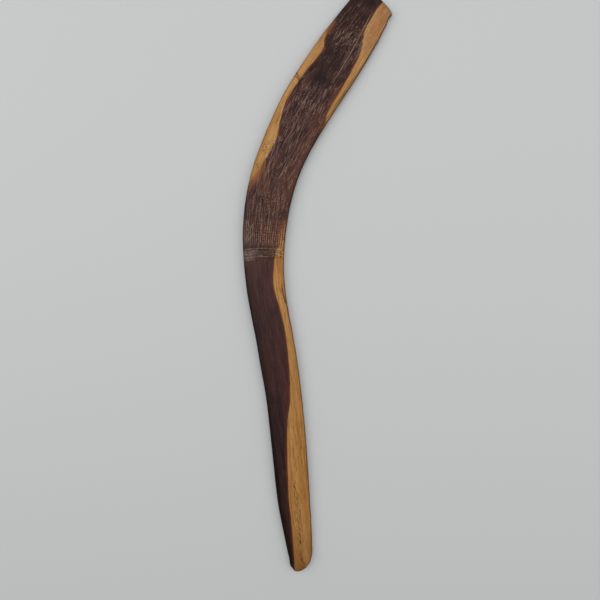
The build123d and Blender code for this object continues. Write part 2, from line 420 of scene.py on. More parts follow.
EDGE_LEVEL, CROWN_SHARE, ROUND_FACE, ROUND_BACK = 0.38, 0.34, 6.5, 3.4
DIST, RIM_RUN = rim_distance(X, Y)
DIST[:, 0] = DIST[:, -1] = DIST[0] = DIST[-1] = 0
S = np.repeat(row_s[:, None], COLS, 1)
T = (U - 0.5) * width[:, None]
THICK = thickness_at(S)


def face_height(s, t, u, d, thick, x, y):
    z_e = EDGE_LEVEL * thick
    round_w = ROUND_FACE - 1.6 * smoothstep(S_ALL - 90, S_ALL - 50, s)
    plain = (1 - CROWN_SHARE) * quarter(d / round_w) + CROWN_SHARE * (1 - (2 * u - 1) ** 2)
    # a flatter bevel with an arris along the inner edge of the incised arm
    bevel = smoothstep(455, 500, s) * smoothstep(640, 590, s) * (u > 0.5)
    cut = np.minimum(quarter(d / 0.9) * 0.42 + d * 0.075, 0.62 + CROWN_SHARE * 0.35 + (d - 2.8) * 0.012)
    rise = plain * (1 - 0.6 * bevel) + np.minimum(plain, cut + 0.34 * smoothstep(2.6, 9, d)) * 0.6 * bevel
    z = z_e + (thick - z_e) * rise
    # hand finishing: broad flats from the adze, then narrow scraper facets
    soft = quarter(d / 4.0)
    z += soft * (0.16 * wave(s / 31.0, t / 13.0, 1) + 0.07 * wave(s / 12.0, t / 6.5, 2))
    z += soft * (0.035 * wave(s / 55.0, t / 2.3, 4) + 0.022 * wave(s / 16.0, t / 1.1, 6))
    return z


Z = face_height(S, T, U, DIST, THICK, X, Y)

# distance to the wood limits: positive in the sapwood
def sap_distance(x, y, a, b, cols):
    n = x.shape[0]
    best = np.full(x.shape, -1e9)
    j = np.arange(x.shape[1])[None, :]
    for line, zone in ((LIMITS[0], "a"), (LIMITS[1], "b"), (LIMITS[2], "b")):
        keep = np.hypot(line[:, 0], 0) < 1e9
        dist, _ = near_line(x.ravel(), y.ravel(), line[keep])
        dist = dist.reshape(x.shape)
        if zone == "a":
            inside = (j < cols[0]) & (a[:, None] > 0)
        else:
            inside = (j > cols[1]) & (b[:, None] < 1)
            mine = (y > 118) if line is LIMITS[1] else (y <= 118)
            inside = inside & mine
        best = np.maximum(best, np.where(inside, dist, -dist))
    return best


SAP = sap_distance(X, Y, cut_a, cut_b, (M1, M1 + M2))
SAP[:, M1] = np.where(cut_a > 0, 0, SAP[:, M1])
SAP[:, M1 + M2] = np.where(cut_b < 1, 0, SAP[:, M1 + M2])
print("grid", X.shape, "z", Z.min(), Z.max(), "sap", SAP.min(), SAP.max())

# ------------------------------------------------------------------ incised lines and flaws
# Plain hatching and stipple. No figure or sign is drawn.
rng = np.random.RandomState(2024)
mid_y = (A[:, 1] + B[:, 1]) / 2


def s_of(y):
    return float(np.interp(y, mid_y, row_s))


def spot(s, u):
    """Plan point at length s and share u."""
    f = np.interp(s, row_s, np.arange(N))
    a = np.array([np.interp(f, np.arange(N), A[:, k]) for k in (0, 1)])
    b = np.array([np.interp(f, np.arange(N), B[:, k]) for k in (0, 1)])
    return a + (b - a) * u


def grain_angle(s):
    p, q2 = spot(s - 2, 0.5), spot(s + 2, 0.5)
    return math.atan2(q2[1] - p[1], q2[0] - p[0])


lines = []                                # (points, half width, depth, pale, dark)


def line(points, w=0.5, depth=0.12, pale=0.5, dark=0.0):
    p = np.asarray(points, float)
    if len(p) > 2:
        r = runs(p)
        p = spline(r, p, np.linspace(0, r[-1], max(6, int(r[-1] / 2.0))))
    lines.append((p, w, depth, pale, dark))


def stroke(centre, angle, length, bend=0.0, **kw):
    """A stroke about a centre. Angle is in degrees from the grain there."""
    f = np.interp(centre[1], mid_y, row_s)
    a = grain_angle(f) + math.radians(angle)
    dx, dy = math.cos(a), math.sin(a)
    h = length / 2
    line([(centre[0] - dx * h, centre[1] - dy * h),
          (centre[0] - dy * bend, centre[1] + dx * bend),
          (centre[0] + dx * h, centre[1] + dy * h)], **kw)


def dot(centre, r, depth, pale, dark=0.0):
    c = np.asarray(centre, float)
    lines.append((np.array([c, c + (0.12, 0.05)]), r, depth, pale, dark))


def quiet(s, u):
    """The smooth dark patch on the incised arm, where there are few marks."""
    calm = max(0.0, 1 - (abs(s - s_of(236)) / 26) ** 4) * (0.92 if u < 0.78 else 0.3)
    return (1 - calm) * (1.0 if s < s_of(292) else 0.55)


def spread(y0, y1, u0, u1, count, wobble=1.2):
    """Evenly spread places over part of the arm: a plain low-discrepancy layout."""
    a, b = s_of(y0), s_of(y1)
    return [(a + (b - a) * (k + 0.5) / count + rng.normal(0, wobble), u0 + (u1 - u0) * ((k * 0.618034 + 0.11) % 1)) for k in range(count)]


def along_arm(y0, y1, u0, u1, **kw):
    """A long line that follows the arm, drifting from one share of its width to another."""
    f = np.linspace(0, 1, 6)
    line([spot(s_of(y0) + (s_of(y1) - s_of(y0)) * k, u0 + (u1 - u0) * k + 0.012 * math.sin(5 * k + y0)) for k in f], **kw)


# The worked face is laid out afresh from plain fields of hatching, crossed cuts and
# stipple. Each field is an even pattern with a little jitter.
# long fine scratches all over the arm
for _ in range(230):
    s, u = rng.uniform(S_BAND + 22, S_ALL - 60), rng.uniform(0.05, 0.95)
    stroke(spot(s, u), rng.normal(0, 6), rng.uniform(7, 30), rng.uniform(-0.5, 0.5),
           w=rng.uniform(0.28, 0.38), depth=rng.uniform(0.03, 0.08), pale=(0.03 + 0.50 * rng.rand() ** 3.2) * quiet(s, u))
# short marks in all directions
for _ in range(64):
    s, u = rng.uniform(S_BAND + 60, S_ALL - 62), rng.uniform(0.12, 0.9)
    stroke(spot(s, u), rng.uniform(-65, 65), rng.uniform(1.8, 5.0),
           w=rng.uniform(0.30, 0.40), depth=rng.uniform(0.05, 0.11), pale=(0.12 + 0.55 * rng.rand() ** 2.2) * quiet(s, u))
# leaning hatch over the middle of the arm
for s, u in spread(108, 188, 0.12, 0.93, 52):
    lean = 12 if u < 0.5 else -12
    stroke(spot(s, u), lean + rng.normal(0, 3.5), rng.uniform(8, 20), rng.uniform(-0.4, 0.4),
           w=rng.uniform(0.28, 0.37), depth=rng.uniform(0.07, 0.15), pale=0.12 + 0.66 * rng.rand() ** 2.2)
# two rows of short parallel hatch across the arm
for y0, y1, count in ((196, 208, 15), (270, 284, 13)):
    for k in range(count):
        s = s_of(y0) + (k % 3) * 3.2 + rng.normal(0, 1.0)
        stroke(spot(s, 0.24 + 0.54 * k / (count - 1)), 6 + rng.normal(0, 5), rng.uniform(5, 12),
               w=rng.uniform(0.34, 0.42), depth=rng.uniform(0.10, 0.17), pale=rng.uniform(0.30, 0.85))
for s, u in spread(190, 210, 0.22, 0.72, 14) + spread(262, 296, 0.30, 0.80, 22):
    stroke(spot(s, u), rng.uniform(20, 60) * rng.choice([-1, 1]), rng.uniform(1.8, 4.6), w=0.36, depth=0.11, pale=rng.uniform(0.25, 0.62))
# long lines that run with the arm
for y0, y1, u0, u1, w, amount in ((106, 152, 0.34, 0.29, 0.38, 0.60), (98, 140, 0.60, 0.66, 0.36, 0.50), (146, 204, 0.70, 0.62, 0.36, 0.48),
                                  (176, 214, 0.40, 0.46, 0.40, 0.62), (232, 308, 0.70, 0.60, 0.44, 0.74), (150, 186, 0.46, 0.50, 0.34, 0.45)):
    along_arm(y0, y1, u0, u1, w=w, depth=0.14, pale=amount)
# rubbed patches
for s, u in spread(140, 230, 0.3, 0.7, 4, 4.0):
    stroke(spot(s, u), rng.normal(0, 8), rng.uniform(6, 12), w=1.4, depth=0.04, pale=0.36)
# stipple: rows of dots across the arm, every second row shifted
for r in range(8):
    for k in range(11):
        u = 0.14 + 0.075 * k + (0.037 if r % 2 else 0)
        if rng.rand() < 0.24:
            continue
        c = spot(s_of(73) + 3.5 * r + rng.normal(0, 0.45), u + rng.normal(0, 0.008))
        dot(c, rng.uniform(0.46, 0.68), rng.uniform(0.10, 0.18), (0.35 + 0.55 * u) * rng.uniform(0.5, 1.3))
        dot((c[0] + 1.1, c[1] - 0.8), 0.55, 0.1, 0, rng.uniform(0.25, 0.6))
# a hatched field above the band: pale uprights, dark cross cuts
for k in range(20):
    u = 0.045 + 0.0475 * k
    reach = rng.uniform(14, 34) + (rng.uniform(0, 16) if u < 0.3 else 0)
    s0 = s_of(36.4) + rng.uniform(0, 3)
    pts = [spot(s0 + reach * f, u + 0.010 * f + rng.normal(0, 0.004)) for f in (0, 0.5, 1)]
    line(pts, w=0.40, depth=0.13, pale=rng.uniform(0.34, 0.78))
    line([(q[0] + 1.25, q[1] - 1.0) for q in pts], w=0.50, depth=0.08, pale=0, dark=rng.uniform(0.35, 0.70))
for r in range(10):
    u = rng.uniform(0.28, 0.36)
    while u < 0.93:
        span = rng.uniform(0.03, 0.085)
        if rng.rand() < 0.72:
            s0 = s_of(37.8) + 2.9 * r
            line([spot(s0 + rng.uniform(-0.4, 0.4), u), spot(s0 + rng.uniform(-0.5, 0.4), u + span)], w=0.72, depth=0.12, pale=0, dark=rng.uniform(0.65, 0.95))
        u += span + rng.uniform(0.006, 0.03)
for s, u in spread(37, 66, 0.3, 0.9, 26):
    dot(spot(s, u), rng.uniform(0.42, 0.62), 0.1, rng.uniform(0.45, 0.9))
for s, u in spread(42, 66, 0.06, 0.26, 9):
    stroke(spot(s, u), rng.choice([-1, 1]) * rng.uniform(14, 28), rng.uniform(5, 10), w=0.38, depth=0.13, pale=rng.uniform(0.45, 0.85))
# the band: two border lines, with small crumbled cuts between them
line([(-84.0, 33.9), (-77.0, 34.5), (-68.0, 34.9), (-60.0, 34.7), (-52.0, 34.4), (-38.2, 34.0)], w=0.44, depth=0.2, pale=0.46)
line([(-85.5, 24.4), (-78.0, 25.1), (-70.0, 25.7), (-60.0, 25.8), (-51.0, 25.5)], w=0.46, depth=0.22, pale=0.48)
for k in range(84):
    x0 = -86.5 + 47.5 * ((k * 0.618034) % 1)
    y0 = 26.9 + 6.2 * ((k * 0.7548777) % 1)
    worn_ = 1.0 if x0 < -72 else (0.62 if x0 < -54 else 0.70)
    stroke((x0, y0), rng.uniform(20, 85) * rng.choice([-1, 1]), rng.uniform(1.0, 3.0), w=rng.uniform(0.46, 0.64), depth=0.12,
           pale=worn_ * rng.uniform(0.55, 1.0))
for k in range(78):
    x0 = -86.0 + 47.0 * ((k * 0.618034 + 0.37) % 1)
    y0 = 26.0 + 7.8 * ((k * 0.7548777 + 0.21) % 1)
    stroke((x0, y0), rng.uniform(20, 85) * rng.choice([-1, 1]), rng.uniform(1.0, 3.4), w=rng.uniform(0.52, 0.78), depth=0.13, pale=0,
           dark=rng.uniform(0.55, 0.85) * (1.15 if x0 > -54 else (0.7 if x0 < -72 else 1.0)))
# dust spilling over the band's outer end
for k in range(30):
    x0, y0 = -87 + 15 * rng.rand() ** 1.2, 24.8 - 5.0 * rng.rand() ** 1.6
    stroke((x0, y0), rng.uniform(-80, 80), rng.uniform(0.8, 2.6), w=rng.uniform(0.40, 0.60), depth=0.06, pale=rng.uniform(0.2, 0.55))
line([(-53.0, 24.3), (-46.0, 24.0), (-38.2, 24.2)], w=0.5, depth=0.08, pale=0, dark=0.6)
line([(-70.0, 23.9), (-60.0, 24.1), (-50.0, 23.9)], w=0.5, depth=0.05, pale=0, dark=0.3)

# the arris of the trimmed inner edge, drawn as dark painted shade lines
for y0, y1, off, amount in ((168, 246, 2.3, 0.62), (246, 304, 0.9, 0.55)):
    ys = np.linspace(y0, y1, 14)
    ins = np.array([spot(s_of(v), 1.0) + (spot(s_of(v), 0.0) - spot(s_of(v), 1.0)) * off * (0.75 + 0.5 * rng.rand()) / np.hypot(*(spot(s_of(v), 0.0) - spot(s_of(v), 1.0))) for v in ys])
    line(ins, w=0.5, depth=0.05, pale=0, dark=amount)
# cracks, knots and pores
line([(-24.4, 238.5), (-23.4, 233.5), (-20.6, 229.0)], w=0.78, depth=0.3, pale=0, dark=1.0)
line([(-20.6, 229.0), (-21.0, 224.5), (-21.6, 218.5)], w=0.7, depth=0.25, pale=0, dark=0.85)
line([(-27.6, 233.4), (-24.6, 231.0), (-21.6, 226.6)], w=0.66, depth=0.22, pale=0, dark=0.9)
line([(-26.0, 224.0), (-30.4, 216.0), (-35.0, 205.0), (-38.0, 196.0)], w=0.5, depth=0.10, pale=0, dark=0.5)
line([(-17.6, 222.0), (-16.8, 217.5)], w=0.45, depth=0.15, pale=0.5)
dot((-19.6, 224.2), 0.95, 0.3, 0, 0.9)
dot((-20.6, 220.8), 0.8, 0.25, 0, 0.85)
for cx, cy, r in ((-61.4, 146.2, 1.15), (-58.4, 150.2, 1.0), (-59.8, 153.4, 0.8), (-57.2, 147.6, 0.75), (-60.2, 143.2, 0.7), (-56.0, 155.2, 0.7),
                  (-58.0, 144.6, 0.6), (-62.6, 150.0, 0.6), (-55.6, 150.6, 0.6), (-61.6, 140.6, 0.5)):
    dot((cx, cy), r, 0.22, 0, 0.78)
line([(-63.6, 143.0), (-62.8, 149.0), (-60.0, 156.0)], w=0.5, depth=0.06, pale=0, dark=0.35)
line([(-58.6, 138.2), (-57.4, 142.0)], w=1.5, depth=0.04, pale=0.42)
line([(-70.4, 132.6), (-68.6, 128.6), (-67.4, 125.6)], w=0.45, depth=0.2, pale=0, dark=0.7)
line([(-66.2, 131.0), (-67.4, 125.6)], w=0.42, depth=0.15, pale=0, dark=0.45)
line([(-40.8, -8.5), (-39.6, -15.0), (-38.1, -21.5), (-36.4, -29.0)], w=0.85, depth=0.28, pale=0, dark=0.95)
line([(-42.4, -10.5), (-41.4, -16.0)], w=0.7, depth=0.15, pale=0, dark=0.8)
line([(-39.0, -18.0), (-37.2, -25.5)], w=0.7, depth=0.15, pale=0, dark=0.85)
for _ in range(12):
    stroke((-40.8 + rng.normal(0, 1.0), rng.uniform(-22, -5)), rng.normal(0, 8), rng.uniform(1.0, 2.6), w=0.50, depth=0.1, pale=0, dark=rng.uniform(0.4, 0.85))
for _ in range(50):
    f = rng.rand()
    c = np.array([-26.0, -232.0]) * (1 - f) + np.array([-17.6, -326.0]) * f + rng.normal(0, 1, 2) * (0.6 + 2.0 * rng.rand(), 3.0)
    stroke(c, rng.normal(0, 6), rng.uniform(2.0, 5.0), w=0.8, depth=0.10, pale=0, dark=0.10)
for _ in range(60):
    c = spot(rng.uniform(95, 240), rng.uniform(0.55, 0.94))
    stroke(c, rng.normal(0, 6), rng.uniform(0.8, 2.4), w=rng.uniform(0.4, 0.52), depth=0.07, pale=0, dark=rng.uniform(0.12, 0.42))
for _ in range(20):
    c = spot(rng.uniform(70, 330), rng.uniform(0.5, 0.95))
    stroke(c, rng.normal(0, 5), rng.uniform(0.8, 2.2), w=0.42, depth=0.08, pale=0, dark=rng.uniform(0.15, 0.35))
for cx, cy in ((-43.6, 2.0), (-42.6, -2.5), (-44.0, -4.8), (-14.4, -324.4), (-13.4, -326.0), (-16.2, -322.6)):
    dot((cx, cy), 0.7, 0.16, 0, 0.55)


def engrave(x, y):
    """Depth, pale and dark amounts at plan points, for all the lines."""
    fx, fy = x.ravel(), y.ravel()
    depth, pale, dark = np.zeros(fx.size), np.zeros(fx.size), np.zeros(fx.size)
    order = np.argsort(fy)
    sy = fy[order]
    for n, (p, w, dp, pl, dk) in enumerate(lines):
        reach = w * 1.5
        lo, hi = p.min(0) - reach, p.max(0) + reach
        pick = order[np.searchsorted(sy, lo[1]):np.searchsorted(sy, hi[1])]
        pick = pick[(fx[pick] > lo[0]) & (fx[pick] < hi[0])]
        if not len(pick):
            continue
        dist, along = near_line(fx[pick], fy[pick], p)
        total = max(runs(p)[-1], 1e-6)
        ends = np.minimum(along, total - along) / max(0.22 * total, 0.3)
        taper = np.clip(0.35 + ends, 0, 1) if total > 1 else 1.0
        broken = 0.78 + 0.30 * wave(along / 2.6, np.full(len(pick), n * 1.7), 9)
        core = np.clip(1 - (dist / w) ** 2, 0, 1) ** 2
        depth[pick] = np.maximum(depth[pick], dp * core * taper)
        tone = smoothstep(1.25, 0.45, dist / w) * taper * broken
        pale[pick] = np.maximum(pale[pick], pl * tone)
        dark[pick] = np.maximum(dark[pick], dk * tone)
    return depth.reshape(x.shape), np.clip(pale, 0, 1).reshape(x.shape), np.clip(dark, 0, 1).reshape(x.shape)


DEPTH, PALE, DARK = engrave(X, Y)
keep_off = quarter(DIST / 0.6)
Z = Z - DEPTH * keep_off
print("lines", len(lines), "cut", DEPTH.max(), (PALE > 0.2).mean())

# ------------------------------------------------------------------ the back
# The back has the same outline. It is flat with rounded borders, and the sapwood is
# narrower there, because the limits lean through the thickness.
def window(live):
    """0 at the ends of a run of rows and 1 inside it."""
    out = np.zeros(N)
    k = np.nonzero(live)[0]
    if not len(k):
        return out
    for part in np.split(k, np.nonzero(np.diff(k) > 1)[0] + 1):
        s0, s1 = row_s[part[0]], row_s[part[-1]]
        out[part] = smoothstep(0, 26, row_s[part] - s0) * smoothstep(0, 26, s1 - row_s[part])
    return out


live_a, live_b = cut_a > 0, cut_b < 1
back_a = cut_a * (1 - 0.32 * window(live_a))
back_b = 1 - (1 - cut_b) * (1 - 0.30 * window(live_b))
back_a = np.where(live_a, np.clip(back_a, 1e-4, None), 0)

edge_out = [0, 2, 3, 4, 5, 6, 8, 10, 12]
C_SET = edge_out + [M1]
C_SET += [M1 + c for c in edge_out[1:]] + [M1 + c for c in range(16, M2 - 12, 4)] + [M1 + M2 - c for c in edge_out[::-1]]
C_SET += [M1 + M2 + c for c in (4, 8, 12)] + [M1 + M2 + M3 - c for c in edge_out[::-1]]
C_SET = sorted(set(C_SET))
gap_rows = np.diff(row_s)
R_SET, last_s = [0], -1e9
for i in range(1, N - 1):
    spacing = 3.3 if row_s[i] < S_BAND else 2.2
    near_end = min(row_s[i] - row_s[0], row_s[-1] - row_s[i]) < 8
    turn = (live_a[i] != live_a[i - 1]) or (live_a[i] != live_a[i + 1]) or (live_b[i] != live_b[i - 1]) or (live_b[i] != live_b[i + 1])
    if near_end or turn or row_s[i] - row_s[R_SET[-1]] >= spacing - 0.05:
        R_SET.append(i)
R_SET.append(N - 1)

UB = shares(back_a, back_b)
PB = place(UB)[R_SET][:, C_SET]
XB, YB = PB[..., 0], PB[..., 1]
DIST_B, _ = rim_distance(XB, YB)
DIST_B[0] = DIST_B[-1] = 0
DIST_B[:, 0] = DIST_B[:, -1] = 0
SB = np.repeat(row_s[R_SET][:, None], len(C_SET), 1)
WB = UB[R_SET][:, C_SET]
TB = (WB - 0.5) * width[R_SET][:, None]
ZE_B = EDGE_LEVEL * thickness_at(SB)
hollow = quarter((DIST_B - ROUND_BACK) / 7.0) * np.clip(0.11 + 0.11 * wave(SB / 27.0, TB / 11.0, 12) + 0.05 * wave(SB / 10.0, TB / 5.0, 13), 0, None)
ZB = ZE_B * (1 - quarter(DIST_B / ROUND_BACK)) + np.where(DIST_B > ROUND_BACK, hollow, 0)


def limit_lines(px, py, a_live, b_live, ca, cb):
    """The seam lines that a grid really has, zone by zone."""
    out = []
    for live, col, zone in ((a_live, ca, "a"), (b_live, cb, "b")):
        k = np.nonzero(live)[0]
        for part in np.split(k, np.nonzero(np.diff(k) > 1)[0] + 1):
            out.append((np.stack([px[part, col], py[part, col]], 1), zone, part))
    return out


cb1, cb2 = C_SET.index(M1), C_SET.index(M1 + M2)
SAP_B = np.full(XB.shape, -1e9)
nearest_b = np.full(XB.shape, 1e9)
jb = np.arange(len(C_SET))[None, :]
la, lb = live_a[R_SET], live_b[R_SET]
for pts, zone, part in limit_lines(XB, YB, la, lb, cb1, cb2):
    dist, _ = near_line(XB.ravel(), YB.ravel(), pts)
    nearest_b = np.minimum(nearest_b, dist.reshape(XB.shape))
in_a, in_b = (jb < cb1) & la[:, None], (jb > cb2) & lb[:, None]
SAP_B = np.where(in_a | in_b, nearest_b, -nearest_b)

# ------------------------------------------------------------------ vertices
ids = np.arange(N * COLS).reshape(N, COLS)
for i in range(N):
    if not live_a[i]:
        ids[i, :M1 + 1] = ids[i, 0]
    if not live_b[i]:
        ids[i, M1 + M2:] = ids[i, COLS - 1]
top_xyz = np.stack([X, Y, Z], -1).reshape(-1, 3)
back_base = N * COLS
row_at = {r: k for k, r in enumerate(R_SET)}
col_at = {c: k for k, c in enumerate(C_SET)}
back_ids = back_base + np.arange(len(R_SET) * len(C_SET)).reshape(len(R_SET), len(C_SET))
back_xyz = np.stack([XB, YB, ZB], -1).reshape(-1, 3)
verts = np.vstack([top_xyz, back_xyz])


def on_rim(r, c):
    """-1 for the outer rim, 1 for the inner rim, 0 for neither."""
    if c == 0 or (not live_a[r] and c <= M1):
        return -1
    if c == COLS - 1 or (not live_b[r] and c >= M1 + M2):
        return 1
    return 0


def back_id(r, c):
    side = on_rim(r, c)
    if side:
        return int(ids[r, 0 if side < 0 else COLS - 1])
    if r in (0, N - 1):
        return int(ids[r, c])
    return int(back_ids[row_at[r], col_at[c]])


def up_side(r0, r1, c):
    s0, s1 = on_rim(r0, c), on_rim(r1, c)
    if s0 and s0 == s1:
        return [int(v) for v in ids[r0:r1 + 1, 0 if s0 < 0 else COLS - 1]]
    return [back_id(r0, c), back_id(r1, c)]


def cross_side(r, c0, c1):
    if r in (0, N - 1):
        out = [int(v) for v in ids[r, c0:c1 + 1]]
        return out
    return [back_id(r, c0), back_id(r, c1)]


def tidy(poly):
    out = [v for k, v in enumerate(poly) if v != poly[k - 1]]
    return out if len(out) >= 3 and len(set(out)) == len(out) else None


def band_of(c_low):
    return 0 if c_low < M1 else (1 if c_low < M1 + M2 else 2)


ZONES = {"sapwood_outer_upper": [], "heartwood_blade": [], "sapwood_inner_upper": [], "sapwood_inner_lower": []}
mid_row = int(np.nonzero(~live_b & (row_s > 200) & (row_s < 560))[0].mean())


def zone_name(band, row):
    if band == 0:
        return "sapwood_outer_upper"
    if band == 1:
        return "heartwood_blade"
    return "sapwood_inner_upper" if row > mid_row else "sapwood_inner_lower"


skin = []                                 # every outer polygon: (ids, zone name)
for i in range(N - 1):
    a0, a1 = ids[i], ids[i + 1]
    for j in range(COLS - 1):
        p = (int(a0[j]), int(a0[j + 1]), int(a1[j + 1]), int(a1[j]))
        if p[0] == p[1] and p[2] == p[3]:
            continue
        t = p if len(set(p)) == 4 else tidy(p)
        if t:
            skin.append((t, zone_name(band_of(j), i)))
n_top = len(skin)
for r0, r1 in zip(R_SET, R_SET[1:]):
    for c0, c1 in zip(C_SET, C_SET[1:]):
        if on_rim(r0, c0) and on_rim(r0, c0) == on_rim(r0, c1) and on_rim(r1, c0) == on_rim(r1, c1) and on_rim(r1, c0):
            continue
        loop_ids = cross_side(r0, c0, c1) + up_side(r0, r1, c1)[1:] + cross_side(r1, c0, c1)[::-1][1:] + up_side(r0, r1, c0)[::-1][1:-1]
        t = tidy(loop_ids[::-1])
        if t:
            skin.append((t, zone_name(band_of(c0), r0)))
walls = []                                # (ids, zone on the outer side, zone on the inner side)
for live, c in ((live_a, M1), (live_b, M1 + M2)):
    for r0, r1 in zip(R_SET, R_SET[1:]):
        if not (live[r0] or live[r1]):
            continue
        top_line = [int(v) for v in ids[r0:r1 + 1, c]]
        b0, b1 = back_id(r0, c), back_id(r1, c)
        tri = []
        half = (len(top_line) - 1) // 2 + 1
        for k in range(len(top_line) - 1):
            tri.append((top_line[k], top_line[k + 1], b0 if k < half else b1))
            if k == half - 1:
                tri.append((top_line[k + 1], b1, b0))
        band = 0 if c == M1 else 1
        for t in tri:
            t = tidy(list(t))
            if t:
                walls.append((t, zone_name(band, r0), zone_name(band + 1, r0)))
print("skin", len(skin), "top", n_top, "walls", len(walls))

# points that fall together at the narrow tip become one, so no face has a zero area
_, first_at, group = np.unique(np.round(verts, 5), axis=0, return_index=True, return_inverse=True)
one = first_at[np.asarray(group).ravel()]
skin = [(t, z) for t, z in ((tidy([int(one[v]) for v in t]), z) for t, z in skin) if t]
walls = [(t, o, n) for t, o, n in ((tidy([int(one[v]) for v in t]), o, n) for t, o, n in walls) if t]
print("skin", len(skin), "walls", len(walls))

# smooth normals of the whole blade, so that no seam shows between the zones
whole = bpy.data.meshes.new("whole")
used = np.zeros(len(verts), bool)
for t, _ in skin:
    used[list(t)] = True
remap = np.cumsum(used) - 1
whole.from_pydata((verts[used]).tolist(), [], [[int(remap[v]) for v in t] for t, _ in skin])
whole.update()
vn = np.zeros(len(whole.vertices) * 3, np.float32)
whole.vertex_normals.foreach_get("vector", vn)
normals = np.zeros((len(verts), 3))
normals[used] = vn.reshape(-1, 3)
bpy.data.meshes.remove(whole)

# ------------------------------------------------------------------ per-vertex fields for the materials
def flat_all(top, back):
    return np.concatenate([np.asarray(top, float).ravel(), np.asarray(back, float).ravel()])


tails = ((-72.0, 113.0, 34), (-40.5, 54.0, 28), (6.0, 166.0, 22), (13.0, 292.0, 18))


def near_tail(x, y):
    return np.max([smoothstep(r, 5, np.hypot(x - tx, y - ty)) for tx, ty, r in tails], axis=0)


F_SAP = flat_all(SAP, SAP_B)
F_PALE = flat_all(PALE, 0 * XB)
F_DARK = flat_all(DARK, 0 * XB)
F_RIM = flat_all(DIST, DIST_B)
F_SOFT = flat_all(near_tail(X, Y), near_tail(XB, YB))
def blobs(x, y, items):
    """Soft patches: (x, y, half width, half height, turn in degrees, amount)."""
    out = np.zeros(x.shape)
    for cx, cy, rx, ry, turn, amount in items:
        c_, s_ = math.cos(math.radians(turn)), math.sin(math.radians(turn))
        dx, dy = x - cx, y - cy
        q2 = np.hypot((dx * c_ + dy * s_) / rx, (-dx * s_ + dy * c_) / ry)
        out = np.maximum(out, amount * smoothstep(1.35, 0.25, q2 + 0.16 * wave(x / 6.0, y / 6.0, 21)))
    return out


def in_band(x, y):
    base = 24.6 + 1.6 * smoothstep(-86, -66, x)
    return smoothstep(base - 0.4, base + 0.4, y) * smoothstep(34.9, 34.1, y)


W_TOP = [(-60, 30, 16, 5, 0, 0.5), (-54, 50, 15, 19, 0, 0.85), (-44.5, 46, 7, 17, 0, 1.0), (-62, 112, 12, 20, 15, 0.35), (20, 206, 6, 16, -30, 0.75), (-46, 88, 14, 12, 0, 0.35),
         (12, 290, 6, 11, -35, 0.7), (-70, 116, 6, 10, -35, 0.8), (-30, 120, 12, 16, -20, 0.25), (-44, 8, 4, 20, 0, 0.5), (0, 182, 7, 20, -30, 0.5), (-38, 205, 5, 22, -25, 0.35)]
D_TOP = [(3.9, 227, 11, 10, -35, 1.0), (13, 250, 15, 20, -35, 0.55), (-24, 163, 9, 12, -25, 0.40), (30, 300, 14, 12, -30, 0.4), (55, 322, 22, 13, -30, 0.85), (-10, 205, 6, 9, 0, 0.25)]
G_TOP = [(-83, 28, 12, 8, 0, 0.55), (-72, 29, 7, 5, 0, 0.4), (-80, 44, 5, 10, 0, 0.3)]
# warmer patches of the wood, and painted light: a lighter reddish strip along the upper arm's inner edge, where that
# side is lit
WARM_TONE_AND_LIT_EDGE = np.maximum(blobs(X, Y, W_TOP), 0.7 * smoothstep(0.72, 0.93, U) * smoothstep(s_of(66), s_of(100), S) * smoothstep(s_of(222), s_of(190), S))
band_here = in_band(X, Y)
# painted shade: the lower arm darkens towards its outer edge; SHADE also holds darker patches of the wood and the
# band's dark middle
painted_shade_outer_side = smoothstep(0.34, 0.02, U) * smoothstep(S_BAND + 6, S_BAND - 30, S)
SHADE = np.maximum(blobs(X, Y, D_TOP), np.maximum(0.62 * painted_shade_outer_side, 0.70 * band_here * smoothstep(-76, -66, X) * smoothstep(-49, -56, X)))
GREY = np.maximum(blobs(X, Y, G_TOP) * smoothstep(19.5, 22.5, Y - 0.12 * (X + 86)), 0.45 * band_here * smoothstep(-64, -80, X))
F_WARM_AND_LIT_EDGE = flat_all(WARM_TONE_AND_LIT_EDGE, 0.25 + 0 * XB)
F_SHADE = flat_all(SHADE, 0 * XB)
F_GREY = flat_all(GREY, 0 * XB)
end_run = np.minimum(np.abs(row_s[-1] - row_s), 50.0)
F_END = flat_all(np.repeat(smoothstep(4.2, 3.0, end_run)[:, None], COLS, 1), np.repeat(smoothstep(4.2, 3.0, end_run[R_SET])[:, None], len(C_SET), 1))
F_ST = np.stack([flat_all(S, SB), flat_all(T, TB), verts[:, 2]], 1)
def pore_line(x, y):
    """How thickly pores lie about the line down the middle of the narrow arm's sapwood."""
    f = np.clip((-232.0 - y) / 94.0, -0.15, 1.05)
    d = x - (-26.0 + 8.4 * f)
    return np.exp(-(d / 3.4) ** 2) * smoothstep(-216, -240, y) * (0.6 + 0.4 * np.sin(y / 9.0) ** 2)


F_FACE = flat_all(np.ones_like(X), 0 * XB)
F_PORE = flat_all(pore_line(X, Y), 0 * XB)
# weight of the painted edge shade: full on the outer side, a fifth on the inner side, half on the back
F_EDGE_SHADE_WEIGHT = flat_all(1 - 0.8 * smoothstep(0.5, 0.75, U), 0.5 + 0 * XB)

